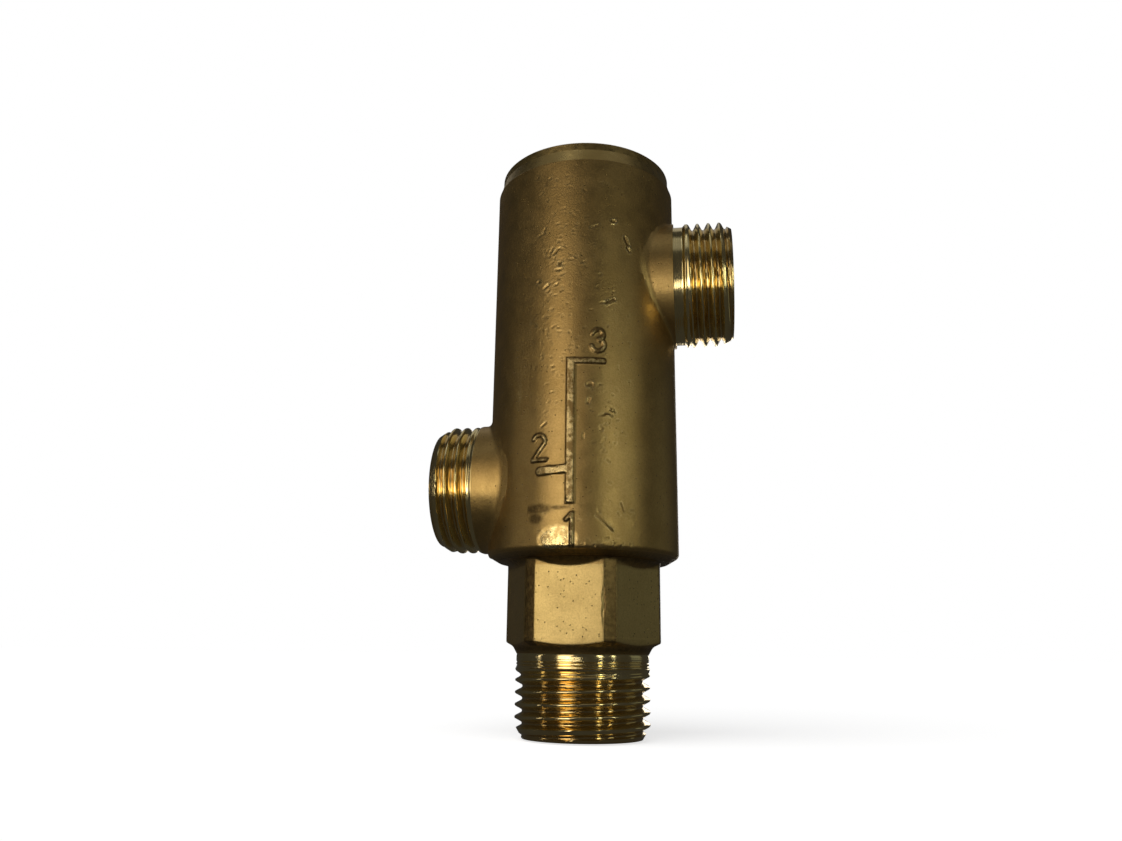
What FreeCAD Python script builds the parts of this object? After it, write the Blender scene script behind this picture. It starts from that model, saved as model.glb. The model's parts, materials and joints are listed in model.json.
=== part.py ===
import FreeCAD, Part
import os
from math import cos, radians, sin, tan

# Thermostatic mixing valve with three threaded connections, in millimetres.
# Z runs up the axis of the valve body. Z = 0 is the end face of connection 1 (hot, at the bottom).
# Connection 2 (cold) points along -X, connection 3 (mixed water) points along +X.

# ---------------------------------------------------------------- body, outside
body_diameter = 30.6
thread_major = 20.955            # external G 1/2 pipe thread, drawn plain at its major diameter
thread_lead_in = 1.18            # radial depth of the chamfer on each threaded end
thread_lead_in_length = 2.0
spigot_1_thread = 10.3           # threaded length of connection 1, from its end face
spigot_1_neck = 2.15             # plain neck between that thread and the hexagon
neck_diameter = 20.7
hexagon_across_flats = 22.2
hexagon_across_corners = 24.54   # the corners are turned down to this diameter
hexagon_foot_height = 1.7        # flared foot from the neck to the hexagon
hexagon_foot_radius = 2.6
hexagon_foot_start = 1 / 3       # share of the flare that is done near the top of the foot
shoulder_z = 25.7                # where the underside cone starts on the hexagon
shoulder_angle = 30.0            # underside cone, measured from level
shoulder_fillet = 1.5
rim_radius = 0.8                 # rounding where the cone meets the cylinder
flat_top_z = 26.03               # top of each flat, at its middle
flat_top_slope = 0.31            # rise of that edge for each millimetre outward
boss_diameter = 21.2
boss_2_length = 1.1              # plain boss of connection 2, outward from the body cylinder
boss_3_length = 0.3
boss_2_fillet = 0.8              # where the boss of connection 2 leaves the body
port_2_z = 38.75
port_3_z = 73.5
port_2_length = 8.2              # from the body cylinder to the end face of connection 2
port_3_length = 9.9
port_2_relief = 0.8              # length of the undercut behind the thread of connection 2
port_3_relief = 1.8
relief_depth = 0.45
top_bevel_height = 2.2           # turned bevel at the upper end of the body
top_bevel_depth = 0.7

# ---------------------------------------------------------------- body, inside
port_bore = 14.0
hot_bore = 18.1                  # the shuttle slides and seals in this bore
cold_chamber = 22.0
main_bore = 24.5
plug_thread = 26.0               # fine thread of the end plug, drawn plain
hot_ledge_z = 15.4
cold_floor_drop = 1.25           # floor of the cold chamber below the bore of connection 2
cold_roof_rise = 2.05            # cold seat above the bore of connection 2
plug_depth = 11.9                # length of the end plug inside the body
thread_relief = 4.0              # unthreaded, sealing part of that length
bore_entry = 0.75                # height of the bevel that leads the plug seal into the bore

# ---------------------------------------------------------------- clearances
running_gap = 0.05               # sliding parts, on the radius
seal_gap = 0.02                  # squeezed rubber to metal, on the radius
loose_gap = 0.1                  # located parts, on the radius
thread_gap = 0.05                # screwed parts, on the radius
shut_gap = 0.02                  # left between the hot seat and the shuttle at the end of its travel

# ---------------------------------------------------------------- end plug
flange_thickness = 1.4
flange_edge = 0.25
spring_pocket = 13.0
pocket_depth = 11.0
spanner_hole = 3.2
spanner_pitch_circle = 20.0
spanner_depth = 2.2
seal_section = 1.25              # radial height of the squeezed O-rings in the bores
seal_width = 1.75
seal_crown = 0.4                 # flat left on each end of a squeezed O-ring, as a share of its section
groove_width = 2.0
plug_groove_offset = 1.0         # from the inner end of the plug to its seal groove

# ---------------------------------------------------------------- snap ring and circlip
snap_thickness = 0.9
snap_groove_depth = 0.55
snap_lip = 0.8                   # wall of the plug below the snap ring groove
snap_width = 1.9
circlip_thickness = 1.1
circlip_groove_depth = 0.6
circlip_width = 1.5
circlip_lug = 2.6
circlip_lug_turn = 8.0           # from the mouth of the circlip to the middle of an eye, in degrees
circlip_lug_hole = 1.2
ring_mouth = 34.0                # opening angle of both rings, in degrees
ring_slack = 0.05

# ---------------------------------------------------------------- hot seat at the bottom
seat_foot_height = 1.0
seat_leg_height = 2.0
seat_leg_width = 2.2
seat_leg_count = 4
seat_disc_thickness = 1.6
seat_disc_diameter = 16.2
washer_width = 1.45
washer_thickness = 1.0
spring_spigot_height = 1.4

# ---------------------------------------------------------------- shuttle
hot_opening = 2.4                # travel of the shuttle
sleeve_bore = 14.0
upper_sleeve = 16.0
lower_sleeve_length = 9.1
web_drop = 11.8                  # underside of the web below the cold seat
web_thickness = 3.0
spoke_width = 1.6
spoke_count = 4
socket_wall = 0.65
socket_floor = 1.5
socket_depth = 3.5
shuttle_groove_offset = 1.6
shuttle_seal_section = 1.05

# ---------------------------------------------------------------- cold seat ring
seat_ring_height = 3.2
seat_ring_hole = 13.2
seat_ring_bevel = 0.6
seat_ring_groove_offset = 0.6

# ---------------------------------------------------------------- wax element
cup_diameter = 9.0
cup_wall = 0.6
cup_edge = 0.5                   # bevel that stands for the drawn edges of the cup
cup_length = 19.5                # from the closed end to the diaphragm
crimp_diameter = 12.6
crimp_wall = 0.55
crimp_floor = 1.0
crimp_lip = 0.85
crimp_lip_bore = 8.9
diaphragm_thickness = 1.0
guide_base_thickness = 2.3
guide_stem_diameter = 8.0
guide_stem_length = 11.7
guide_tip_bevel = 0.8
pin_diameter = 3.0
pin_tip = 0.4
rubber_plug_length = 3.0
backup_disc_thickness = 0.6
charge_gap = 0.02

# ---------------------------------------------------------------- overload plunger and springs
plunger_disc_thickness = 1.2
plunger_boss_diameter = 6.8
plunger_boss_height = 3.5
plunger_dimple_depth = 2.2
return_wire = 1.0
return_spring_diameter = 10.8
return_pitch = 2.4
overload_wire = 1.1
overload_spring_diameter = 11.5
overload_pitch = 2.1
spring_steps = 12                # straight lengths of wire in one turn of a spring
wire_sides = 8

# ---------------------------------------------------------------- worked-out heights
hexagon_foot_z = spigot_1_thread + spigot_1_neck
hexagon_z = hexagon_foot_z + hexagon_foot_height
rim_rise = (body_diameter - hexagon_across_corners) / 2 * tan(radians(shoulder_angle))
rim_z = shoulder_z + rim_rise
cold_floor_z = port_2_z - port_bore / 2 - cold_floor_drop
cold_seat_z = port_2_z + port_bore / 2 + cold_roof_rise
circlip_z = cold_seat_z + seat_ring_height
plug_end_z = port_3_z + port_bore / 2
body_top_z = plug_end_z + plug_depth
thread_start_z = plug_end_z + thread_relief
top_z = body_top_z + flange_thickness
port_2_reach = body_diameter / 2 + port_2_length
port_3_reach = body_diameter / 2 + port_3_length
top_face_diameter = body_diameter - 2 * top_bevel_depth
snap_z = plug_end_z + snap_lip
plunger_z = snap_z + snap_thickness + ring_slack
plunger_seat_z = plunger_z + plunger_disc_thickness
pocket_roof_z = plug_end_z + pocket_depth
pin_top_z = plunger_z + plunger_dimple_depth
seat_leg_z = hot_ledge_z + seat_foot_height
seat_disc_z = seat_leg_z + seat_leg_height
hot_seat_z = seat_disc_z + seat_disc_thickness
shuttle_z = hot_seat_z + hot_opening + shut_gap
web_z = cold_seat_z - web_drop
cup_z = web_z + socket_floor
diaphragm_z = cup_z + cup_length
guide_z = diaphragm_z + diaphragm_thickness
guide_top_z = guide_z + guide_base_thickness + guide_stem_length
backup_disc_z = guide_z + rubber_plug_length
pin_z = backup_disc_z + backup_disc_thickness

touching = 1e-4                  # points nearer than this count as one

ORIGIN = FreeCAD.Vector(0, 0, 0)
UP = FreeCAD.Vector(0, 0, 1)
ALONG_X = FreeCAD.Vector(1, 0, 0)


def profile_wire(corners):
    """Closed outline in the XZ plane. A corner is (x, z) or (x, z, rounding)."""
    count = len(corners)
    arcs = []
    for index, corner in enumerate(corners):
        here = FreeCAD.Vector(corner[0], 0, corner[1])
        before = FreeCAD.Vector(corners[index - 1][0], 0, corners[index - 1][1])
        after = FreeCAD.Vector(corners[(index + 1) % count][0], 0, corners[(index + 1) % count][1])
        if len(corner) == 2:
            arcs.append((here, here, here))
            continue
        rounding = corner[2]
        back = (before - here).normalize()
        ahead = (after - here).normalize()
        half = back.getAngle(ahead) / 2
        middle = (back + ahead).normalize() * (rounding / sin(half) - rounding)
        run = rounding / tan(half)
        arcs.append((here + back * run, here + middle, here + ahead * run))
    edges = []
    for index, (start, middle, end) in enumerate(arcs):
        if not start.isEqual(end, touching):
            edges.append(Part.Arc(start, middle, end).toShape())
        edges.append(Part.makeLine(end, arcs[(index + 1) % count][0]))
    return Part.Wire(edges)


def turned(corners):
    """Solid of revolution about Z of an outline given as (radius, z) corners."""
    return Part.Face(profile_wire(corners)).revolve(ORIGIN, UP, 360)


def tube(outer, inner, z, height):
    """Plain ring of two diameters, standing on z."""
    return turned([(inner / 2, z), (outer / 2, z), (outer / 2, z + height), (inner / 2, z + height)])


def squeezed_seal(inner_radius, outer_radius, middle_z):
    """O-ring squeezed between two cylinders: flat inside and outside, crowned above and below."""
    section = outer_radius - inner_radius
    bevel = section * (1 - seal_crown) / 2
    low = middle_z - seal_width / 2
    high = middle_z + seal_width / 2
    return turned([
        (inner_radius, low + bevel),
        (inner_radius + bevel, low),
        (outer_radius - bevel, low),
        (outer_radius, low + bevel),
        (outer_radius, high - bevel),
        (outer_radius - bevel, high),
        (inner_radius + bevel, high),
        (inner_radius, high - bevel),
    ])


def wire_section(radius, wire, z):
    """Outline of the spring wire where it crosses the XZ plane."""
    corners = []
    for index in range(wire_sides + 1):
        angle = radians(360 / wire_sides * (index + 0.5))
        corners.append(FreeCAD.Vector(radius + wire / 2 * cos(angle), 0, z + wire / 2 * sin(angle)))
    return Part.makePolygon(corners)


def ground_spring(outer_diameter, wire, pitch, z, height):
    """Coil of wire between two level planes, its ends ground flat."""
    radius = (outer_diameter - wire) / 2
    steps = round(height / pitch * spring_steps)
    sections = []
    for index in range(steps + 1):
        section = wire_section(radius, wire, height * index / steps)
        section.rotate(ORIGIN, UP, 360 / spring_steps * index)
        sections.append(section)
    coil = Part.makeLoft(sections, True, True)
    coil = coil.common(Part.makeCylinder(outer_diameter, height))
    coil.translate(UP * z)
    return coil


def spring_spigot_radius():
    """Radius of the spigots that centre the return spring at both ends."""
    wire_inside = return_spring_diameter / 2 - return_wire
    return wire_inside * cos(radians(180 / spring_steps)) - loose_gap


def hexagon_prism(across_flats, z, height):
    """Upright hexagonal prism with flats facing -Y and +Y."""
    corner_radius = across_flats / 2 / sin(radians(60))
    corners = []
    for index in range(6):
        turn = FreeCAD.Rotation(UP, 60 * index)
        corners.append(turn.multVec(ALONG_X * corner_radius) + UP * z)
    return Part.Face(Part.makePolygon(corners + corners[:1])).extrude(UP * height)


def split_ring(outer, inner, z, thickness):
    """Flat ring with a mouth that faces the back (+Y)."""
    ring = tube(outer, inner, z, thickness)
    reach = outer
    half = radians(ring_mouth / 2)
    mouth = Part.makePolygon([UP * z, FreeCAD.Vector(reach * tan(half), reach, z),
                              FreeCAD.Vector(-reach * tan(half), reach, z), UP * z])
    return ring.cut(Part.Face(mouth).extrude(UP * thickness))


def flats_waste():
    """What the six spanner flats take off the turned foot of the body."""
    low = hexagon_foot_z - spigot_1_neck / 2
    reach = body_diameter
    high_at_axis = flat_top_z - flat_top_slope * hexagon_across_flats / 2
    high_at_reach = high_at_axis + flat_top_slope * reach
    blank = turned([(0, low), (reach, low), (reach, high_at_reach), (0, high_at_axis)])
    return blank.cut(hexagon_prism(hexagon_across_flats, low, high_at_reach - low))


def body_core():
    """Cylinder, shoulder, hexagon and bottom spigot, turned and with the flats cut."""
    corner_radius = hexagon_across_corners / 2
    neck_radius = neck_diameter / 2
    bevel_z = body_top_z - top_bevel_height
    flare_radius = neck_radius + (corner_radius - neck_radius) * hexagon_foot_start
    flare_z = hexagon_z - hexagon_foot_height * hexagon_foot_start
    core = turned([
        (0, 0),
        (thread_major / 2 - thread_lead_in, 0),
        (thread_major / 2, thread_lead_in_length),
        (thread_major / 2, spigot_1_thread),
        (neck_radius, spigot_1_thread),
        (neck_radius, hexagon_foot_z),
        (flare_radius, flare_z, hexagon_foot_radius),
        (corner_radius, hexagon_z),
        (corner_radius, shoulder_z, shoulder_fillet),
        (body_diameter / 2, rim_z, rim_radius),
        (body_diameter / 2, bevel_z),
        (top_face_diameter / 2, body_top_z),
        (0, body_top_z),
    ])
    return core.cut(flats_waste())


def spigot(reach, boss_length, relief):
    """Side connection, upright, from the body axis out: plain boss, undercut, threaded end."""
    major = thread_major / 2
    relief_z = body_diameter / 2 + boss_length
    return turned([
        (0, 0),
        (boss_diameter / 2, 0),
        (boss_diameter / 2, relief_z),
        (major - relief_depth, relief_z),
        (major - relief_depth, relief_z + relief),
        (major, relief_z + relief + relief_depth),
        (major, reach - thread_lead_in_length),
        (major - thread_lead_in, reach),
        (0, reach),
    ])


def laid_along_x(shape, direction, z):
    """Turns an upright shape so that its Z axis points along +X or -X at the height z."""
    laid = shape.copy()
    laid.rotate(ORIGIN, FreeCAD.Vector(0, 1, 0), 90 * direction)
    laid.translate(UP * z)
    return laid


def junction_edges(shape, z):
    """Edges where a side boss leaves the body cylinder."""
    found = []
    for edge in shape.Edges:
        middle = edge.valueAt((edge.FirstParameter + edge.LastParameter) / 2)
        on_boss = abs((middle.y ** 2 + (middle.z - z) ** 2) ** 0.5 - boss_diameter / 2) < touching
        on_body = abs((middle.x ** 2 + middle.y ** 2) ** 0.5 - body_diameter / 2) < touching
        if on_boss and on_body:
            found.append(edge)
    return found


def stepped_bore():
    """All the bores that are turned from the top: hot bore, cold chamber, main bore, plug thread."""
    groove_radius = main_bore / 2 + circlip_groove_depth
    groove_top = circlip_z + circlip_thickness + ring_slack
    return turned([
        (0, hot_ledge_z),
        (hot_bore / 2, hot_ledge_z),
        (hot_bore / 2, cold_floor_z),
        (cold_chamber / 2, cold_floor_z),
        (cold_chamber / 2, cold_seat_z),
        (main_bore / 2, cold_seat_z),
        (main_bore / 2, circlip_z),
        (groove_radius, circlip_z),
        (groove_radius, groove_top),
        (main_bore / 2, groove_top),
        (main_bore / 2, thread_start_z),
        (plug_thread / 2, thread_start_z + bore_entry),
        (plug_thread / 2, body_top_z),
        (0, body_top_z),
    ])


def port_bores():
    """The round waterways of the three connections."""
    radius = port_bore / 2
    hot = Part.makeCylinder(radius, hot_ledge_z)
    cold = laid_along_x(Part.makeCylinder(radius, port_2_reach), -1, port_2_z)
    mixed = laid_along_x(Part.makeCylinder(radius, port_3_reach), 1, port_3_z)
    return hot.fuse([cold, mixed])


def make_valve_body():
    """The brass forging with its machined bores."""
    cold = laid_along_x(spigot(port_2_reach, boss_2_length, port_2_relief), -1, port_2_z)
    mixed = laid_along_x(spigot(port_3_reach, boss_3_length, port_3_relief), 1, port_3_z)
    forging = body_core().fuse([cold, mixed])
    forging = forging.makeFillet(boss_2_fillet, junction_edges(forging, port_2_z))
    return forging.cut(stepped_bore()).cut(port_bores())


def make_end_plug():
    """Screwed plug with a round flange, a seal groove and the pocket of the overload spring."""
    seal_land = main_bore / 2 - running_gap
    groove_floor = main_bore / 2 - seal_section
    groove_z = plug_end_z + plug_groove_offset
    thread_radius = plug_thread / 2 - thread_gap
    pocket = spring_pocket / 2
    snap_top = snap_z + snap_thickness + ring_slack
    flange_radius = top_face_diameter / 2
    plug = turned([
        (pocket, plug_end_z),
        (seal_land, plug_end_z),
        (seal_land, groove_z),
        (groove_floor, groove_z),
        (groove_floor, groove_z + groove_width),
        (seal_land, groove_z + groove_width),
        (seal_land, thread_start_z),
        (thread_radius, thread_start_z + bore_entry),
        (thread_radius, body_top_z),
        (flange_radius, body_top_z),
        (flange_radius, top_z - flange_edge),
        (flange_radius - flange_edge, top_z),
        (0, top_z),
        (0, pocket_roof_z),
        (pocket, pocket_roof_z),
        (pocket, snap_top),
        (pocket + snap_groove_depth, snap_top),
        (pocket + snap_groove_depth, snap_z),
        (pocket, snap_z),
    ])
    for side in (-1, 1):
        centre = FreeCAD.Vector(0, side * spanner_pitch_circle / 2, top_z - spanner_depth)
        plug = plug.cut(Part.makeCylinder(spanner_hole / 2, spanner_depth, centre))
    return plug


def make_plug_seal():
    outer = main_bore / 2 - seal_gap
    inner = main_bore / 2 - seal_section + seal_gap
    return squeezed_seal(inner, outer, plug_end_z + plug_groove_offset + groove_width / 2)


def make_plunger_snap_ring():
    """Round the mouth of the spring pocket; it keeps the overload plunger in."""
    outer = spring_pocket + 2 * (snap_groove_depth - ring_slack)
    return split_ring(outer, outer - 2 * snap_width, snap_z, snap_thickness)


def make_overload_plunger():
    """Disc with a boss inside the spring and a dimple for the piston pin below."""
    dimple = pin_diameter / 2 + loose_gap
    boss = plunger_boss_diameter / 2
    disc = spring_pocket / 2 - loose_gap
    return turned([
        (dimple, plunger_z),
        (disc, plunger_z),
        (disc, plunger_seat_z),
        (boss, plunger_seat_z),
        (boss, plunger_seat_z + plunger_boss_height),
        (0, plunger_seat_z + plunger_boss_height),
        (0, pin_top_z),
        (dimple, pin_top_z),
    ])


def make_overload_spring():
    height = pocket_roof_z - plunger_seat_z
    return ground_spring(overload_spring_diameter, overload_wire, overload_pitch, plunger_seat_z, height)


def make_lower_seat():
    """Foot ring, legs and closed disc; hot water passes between the legs and round the disc."""
    foot_outer = hot_bore - 2 * loose_gap
    disc_radius = seat_disc_diameter / 2
    step_radius = disc_radius - washer_width
    leg_depth = disc_radius - port_bore / 2
    foot = tube(foot_outer, port_bore, hot_ledge_z, seat_foot_height)
    disc = turned([
        (0, seat_disc_z),
        (disc_radius, seat_disc_z),
        (disc_radius, hot_seat_z - washer_thickness),
        (step_radius, hot_seat_z - washer_thickness),
        (step_radius, hot_seat_z),
        (spring_spigot_radius(), hot_seat_z),
        (spring_spigot_radius(), hot_seat_z + spring_spigot_height),
        (0, hot_seat_z + spring_spigot_height),
    ])
    legs = []
    for index in range(seat_leg_count):
        corner = FreeCAD.Vector(disc_radius - leg_depth, -seat_leg_width / 2, seat_leg_z)
        leg = Part.makeBox(leg_depth, seat_leg_width, seat_leg_height, corner)
        leg.rotate(ORIGIN, UP, 360 * (index + 0.5) / seat_leg_count)
        legs.append(leg.common(Part.makeCylinder(disc_radius, seat_leg_height, UP * seat_leg_z)))
    return foot.fuse(legs + [disc]).removeSplitter()


def make_hot_seat_washer():
    """Rubber ring that the shuttle closes on."""
    inner = seat_disc_diameter - 2 * washer_width + 2 * seal_gap
    return tube(seat_disc_diameter, inner, hot_seat_z - washer_thickness, washer_thickness)


def make_return_spring():
    return ground_spring(return_spring_diameter, return_wire, return_pitch, hot_seat_z, web_z - hot_seat_z)


def make_shuttle():
    """Sleeve that closes on the cold seat with its upper rim and on the hot seat with its lower rim."""
    outer = hot_bore / 2 - running_gap
    neck = upper_sleeve / 2
    bore = sleeve_bore / 2
    groove_z = shuttle_z + shuttle_groove_offset
    groove_floor = hot_bore / 2 - shuttle_seal_section
    step_z = shuttle_z + lower_sleeve_length
    sleeve = turned([
        (bore, shuttle_z),
        (outer, shuttle_z),
        (outer, groove_z),
        (groove_floor, groove_z),
        (groove_floor, groove_z + groove_width),
        (outer, groove_z + groove_width),
        (outer, step_z - (outer - neck)),
        (neck, step_z),
        (neck, cold_seat_z),
        (bore, cold_seat_z),
    ])
    socket = cup_diameter / 2 + running_gap
    hub = turned([
        (0, web_z - spring_spigot_height),
        (spring_spigot_radius(), web_z - spring_spigot_height),
        (spring_spigot_radius(), web_z),
        (socket + socket_wall, web_z),
        (socket + socket_wall, cup_z + socket_depth),
        (socket, cup_z + socket_depth),
        (socket, cup_z),
        (0, cup_z),
    ])
    root = socket + socket_wall / 2
    spokes = []
    for index in range(spoke_count):
        corner = FreeCAD.Vector(root, -spoke_width / 2, web_z)
        spoke = Part.makeBox((bore + neck) / 2 - root, spoke_width, web_thickness, corner)
        spoke.rotate(ORIGIN, UP, 360 * index / spoke_count)
        spokes.append(spoke)
    return sleeve.fuse([hub] + spokes).removeSplitter()


def make_shuttle_seal():
    inner = hot_bore / 2 - shuttle_seal_section + seal_gap
    outer = hot_bore / 2 - seal_gap
    return squeezed_seal(inner, outer, shuttle_z + shuttle_groove_offset + groove_width / 2)


def make_upper_seat_ring():
    """Ring on the ledge above the cold chamber; the shuttle closes on its underside."""
    hole = seat_ring_hole / 2
    outer = main_bore / 2 - running_gap
    groove_floor = main_bore / 2 - seal_section
    groove_z = cold_seat_z + seat_ring_groove_offset
    return turned([
        (hole, cold_seat_z),
        (outer, cold_seat_z),
        (outer, groove_z),
        (groove_floor, groove_z),
        (groove_floor, groove_z + groove_width),
        (outer, groove_z + groove_width),
        (outer, circlip_z),
        (hole + seat_ring_bevel, circlip_z),
        (hole, circlip_z - seat_ring_bevel),
    ])


def make_seat_ring_seal():
    outer = main_bore / 2 - seal_gap
    inner = main_bore / 2 - seal_section + seal_gap
    return squeezed_seal(inner, outer, cold_seat_z + seat_ring_groove_offset + groove_width / 2)


def make_seat_circlip():
    """Internal circlip with two eyes, over the cold seat ring."""
    outer = main_bore + 2 * (circlip_groove_depth - ring_slack)
    ring = split_ring(outer, outer - 2 * circlip_width, circlip_z, circlip_thickness)
    eye_radius = circlip_lug / 2
    eye_circle = main_bore / 2 - eye_radius - ring_slack
    turn = ring_mouth / 2 + circlip_lug_turn
    eyes = []
    holes = []
    for side in (-1, 1):
        direction = FreeCAD.Rotation(UP, 90 + side * turn)
        centre = direction.multVec(ALONG_X * eye_circle) + UP * circlip_z
        eyes.append(Part.makeCylinder(eye_radius, circlip_thickness, centre))
        holes.append(Part.makeCylinder(circlip_lug_hole / 2, circlip_thickness, centre))
    return ring.fuse(eyes).cut(holes[0].fuse(holes[1])).removeSplitter()


def make_element_cup():
    """Copper cup of the wax element, crimped over the guide."""
    outer = cup_diameter / 2
    inner = outer - cup_wall
    crimp_outer = crimp_diameter / 2
    crimp_inner = crimp_outer - crimp_wall
    lip_z = guide_z + guide_base_thickness
    lip_bore = crimp_lip_bore / 2
    return turned([
        (0, cup_z),
        (outer - cup_edge, cup_z),
        (outer, cup_z + cup_edge),
        (outer, diaphragm_z - crimp_floor),
        (crimp_outer, diaphragm_z - crimp_floor + cup_edge),
        (crimp_outer, lip_z + crimp_lip - cup_edge),
        (crimp_outer - cup_edge, lip_z + crimp_lip),
        (lip_bore, lip_z + crimp_lip),
        (lip_bore, lip_z),
        (crimp_inner, lip_z),
        (crimp_inner, diaphragm_z),
        (inner, diaphragm_z),
        (inner, cup_z + cup_wall),
        (0, cup_z + cup_wall),
    ])


def make_wax_charge():
    radius = cup_diameter / 2 - cup_wall - charge_gap
    floor_z = cup_z + cup_wall
    return Part.makeCylinder(radius, diaphragm_z - floor_z, UP * floor_z)


def make_diaphragm():
    radius = crimp_diameter / 2 - crimp_wall - charge_gap
    return Part.makeCylinder(radius, diaphragm_thickness, UP * diaphragm_z)


def make_element_guide():
    """Brass guide: base held by the crimp, stem with the bore of the piston pin."""
    bore = pin_diameter / 2 + running_gap
    base = crimp_diameter / 2 - crimp_wall - charge_gap
    stem = guide_stem_diameter / 2
    return turned([
        (bore, guide_z),
        (base, guide_z),
        (base, guide_z + guide_base_thickness),
        (stem, guide_z + guide_base_thickness),
        (stem, guide_top_z - guide_tip_bevel),
        (stem - guide_tip_bevel, guide_top_z),
        (bore, guide_top_z),
    ])


def make_rubber_plug():
    return Part.makeCylinder(pin_diameter / 2, rubber_plug_length, UP * guide_z)


def make_backup_disc():
    return Part.makeCylinder(pin_diameter / 2, backup_disc_thickness, UP * backup_disc_z)


def make_piston_pin():
    radius = pin_diameter / 2
    return turned([
        (0, pin_z),
        (radius, pin_z),
        (radius, pin_top_z - pin_tip),
        (radius - pin_tip, pin_top_z),
        (0, pin_top_z),
    ])


PIECES = {
    "valve_body": make_valve_body,
    "end_plug": make_end_plug,
    "plug_seal": make_plug_seal,
    "plunger_snap_ring": make_plunger_snap_ring,
    "overload_plunger": make_overload_plunger,
    "overload_spring": make_overload_spring,
    "lower_seat": make_lower_seat,
    "hot_seat_washer": make_hot_seat_washer,
    "return_spring": make_return_spring,
    "shuttle": make_shuttle,
    "shuttle_seal": make_shuttle_seal,
    "upper_seat_ring": make_upper_seat_ring,
    "seat_ring_seal": make_seat_ring_seal,
    "seat_circlip": make_seat_circlip,
    "element_cup": make_element_cup,
    "wax_charge": make_wax_charge,
    "diaphragm": make_diaphragm,
    "element_guide": make_element_guide,
    "rubber_plug": make_rubber_plug,
    "backup_disc": make_backup_disc,
    "piston_pin": make_piston_pin,
}


def main():
    os.makedirs("parts", exist_ok=True)
    for name, make in PIECES.items():
        shape = make()
        shape.exportStep("parts/" + name + ".step")
        box = shape.BoundBox
        print(f"{name:18s} solids {len(shape.Solids)} valid {shape.isValid()} volume {shape.Volume:9.1f}"
              f" z {box.ZMin:6.2f} to {box.ZMax:6.2f}")


main()
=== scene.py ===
import json
from math import atan2, cos, degrees, hypot, pi, radians, sin, tan

import bmesh
import bpy
import numpy as np
from mathutils import Matrix, Vector


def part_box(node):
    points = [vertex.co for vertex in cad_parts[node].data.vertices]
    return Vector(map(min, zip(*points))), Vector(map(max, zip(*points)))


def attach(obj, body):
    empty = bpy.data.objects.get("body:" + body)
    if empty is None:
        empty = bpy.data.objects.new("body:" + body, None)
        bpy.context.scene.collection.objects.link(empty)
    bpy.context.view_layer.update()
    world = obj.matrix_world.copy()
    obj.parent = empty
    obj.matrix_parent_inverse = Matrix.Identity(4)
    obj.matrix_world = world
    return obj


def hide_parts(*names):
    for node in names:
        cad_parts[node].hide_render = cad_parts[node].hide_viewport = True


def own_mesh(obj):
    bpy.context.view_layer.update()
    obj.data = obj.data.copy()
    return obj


# Looks of a thermostatic mixing valve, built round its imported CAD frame.
# Lengths are in millimetres and angles in degrees unless a name says otherwise; meshes are made in metres.
# Z runs up the body axis, -Y is the marked front, connection 2 points along -X and connection 3 along +X.

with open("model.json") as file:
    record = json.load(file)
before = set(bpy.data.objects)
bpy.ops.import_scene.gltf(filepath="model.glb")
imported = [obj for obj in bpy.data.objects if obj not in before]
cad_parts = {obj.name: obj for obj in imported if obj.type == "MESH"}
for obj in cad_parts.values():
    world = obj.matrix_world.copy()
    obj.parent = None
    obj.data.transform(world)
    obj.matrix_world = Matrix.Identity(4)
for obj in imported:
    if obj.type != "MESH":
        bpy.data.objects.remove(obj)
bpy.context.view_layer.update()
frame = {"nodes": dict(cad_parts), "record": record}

mm = 0.001
nodes = frame["nodes"]
mounts = {mount["name"]: mount for mount in frame["record"]["mounts"]}
body_low, body_high = (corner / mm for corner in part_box("valve_body"))

# ---------------------------------------------------------------- sizes from the frame
body_radius = body_high.y
body_top = body_high.z
port_2_reach = -body_low.x
port_3_reach = body_high.x
port_2_z = mounts["port_2_bore"]["pos_m"][2] / mm
port_3_z = mounts["port_3_bore"]["pos_m"][2] / mm
thread_radius = mounts["port_1_thread"]["dims"]["r_mm"]
bore_radius = mounts["port_1_bore"]["dims"]["r_mm"]
ring_low, ring_high = (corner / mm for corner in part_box("upper_seat_ring"))
cold_seat_z = ring_low.z
main_bore_radius = ring_high.x + 0.05
plug_end_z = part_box("end_plug")[0].z / mm
hot_ledge_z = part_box("lower_seat")[0].z / mm

# ---------------------------------------------------------------- outside of the body
neck_radius = 10.35
neck_low = 10.3
neck_grooves = (11.2, 10.72)     # turned grooves above the thread
neck_groove_half = 0.16
neck_groove_depth = 0.14
foot_low = 12.45
foot_high = 14.15
foot_flare = (0.64, 0.57)        # how far out and how far below foot_high the underside of the foot bends
foot_flare_fillet = 1.2
foot_split = 0.505               # the milled flats start within this of foot_high
hexagon_radius = 12.27           # corners of the hexagon, turned down
hexagon_half_flats = 11.1
hexagon_turn = -3.2              # the front flat faces a little towards connection 2
hexagon_edge = 0.08              # rounding of the upright edges of the flats
hexagon_rim = 0.2                # rounding of their upper and lower edges
flat_half_angle = 25.6           # half of a flat, in degrees
shoulder_z = 25.7
shoulder_angle = 30.0
shoulder_fillet = 1.5
rim_fillet = 0.8
flat_top_z = 25.25               # middle of the front flat; its ledge rises outward
flat_top_slope = 0.9
boss_radius = 10.6
boss_2_end = 16.4
boss_3_end = 15.6
relief_3_end = 17.4
relief_3_radius = 10.0
boss_2_fillet = 0.8
boss_3_fillet = 0.45
bevel_z = body_top - 2.2
bevel_radius = body_radius - 0.7
turned_band_z = 90.25            # the forged skin is turned away above this height
turned_band_step = 0.1

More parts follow.
